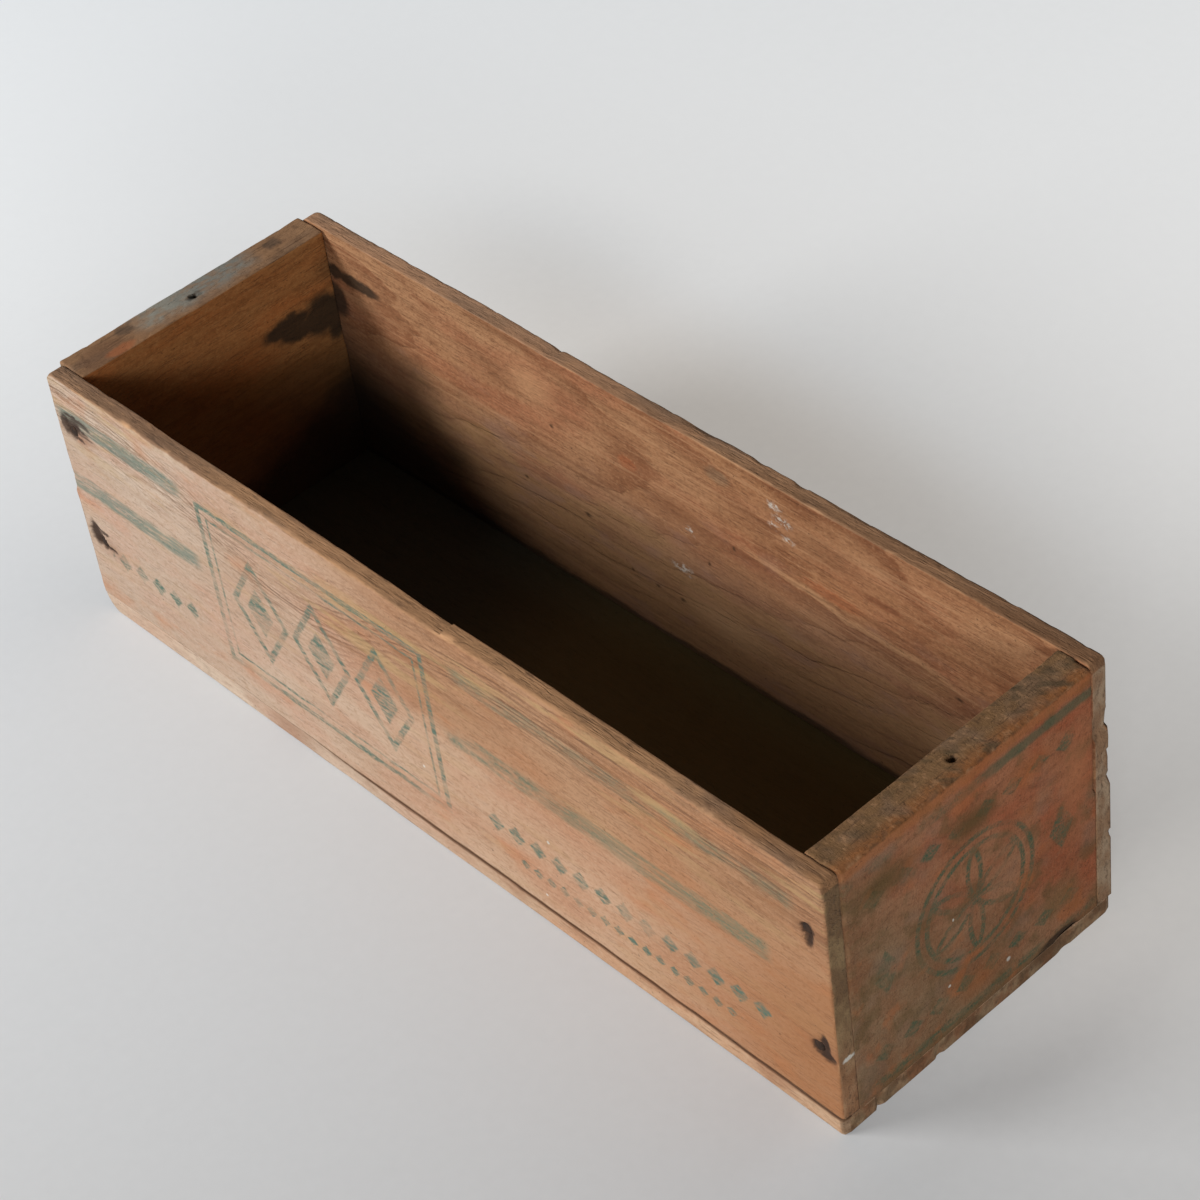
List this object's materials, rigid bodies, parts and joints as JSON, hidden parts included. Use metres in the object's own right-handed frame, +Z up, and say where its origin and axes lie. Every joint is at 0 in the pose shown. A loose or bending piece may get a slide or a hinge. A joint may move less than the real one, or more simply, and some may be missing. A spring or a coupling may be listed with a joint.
{
  "type": "antique wooden cheese box",
  "caption": "Long open-topped antique cheese box of thin worn boards: thick ends between thin nailed sides on a nailed bottom, with empty lid-nail holes in the end rims.",
  "frame": {"origin": "middle of the box's underside, on the table", "axes": "+X along the box to the right end, the front side faces -Y, +Z up"},
  "size_m": [0.298, 0.098, 0.088],
  "materials": {
    "front_wood": "bare pale softwood, worn, with faded blue-green printing",
    "back_wood": "bare orange-brown softwood, worn",
    "left_end_wood": "bare brown softwood with a weathered grey rim",
    "right_end_wood": "bare red-brown softwood, worn, with faded green printing",
    "bottom_wood": "bare softwood, chipped along its right edge",
    "nail_iron": "rusted"
  },
  "bodies": {
    "root": {"front_side": "front_wood", "back_side": "back_wood", "left_end": "left_end_wood", "right_end": "right_end_wood", "bottom_board": "bottom_wood", "front_left_nails": "nail_iron", "front_right_nails": "nail_iron", "back_left_nails": "nail_iron", "back_right_nails": "nail_iron", "bottom_left_nails": "nail_iron", "bottom_right_nails": "nail_iron"}
  },
  "joints": []
}
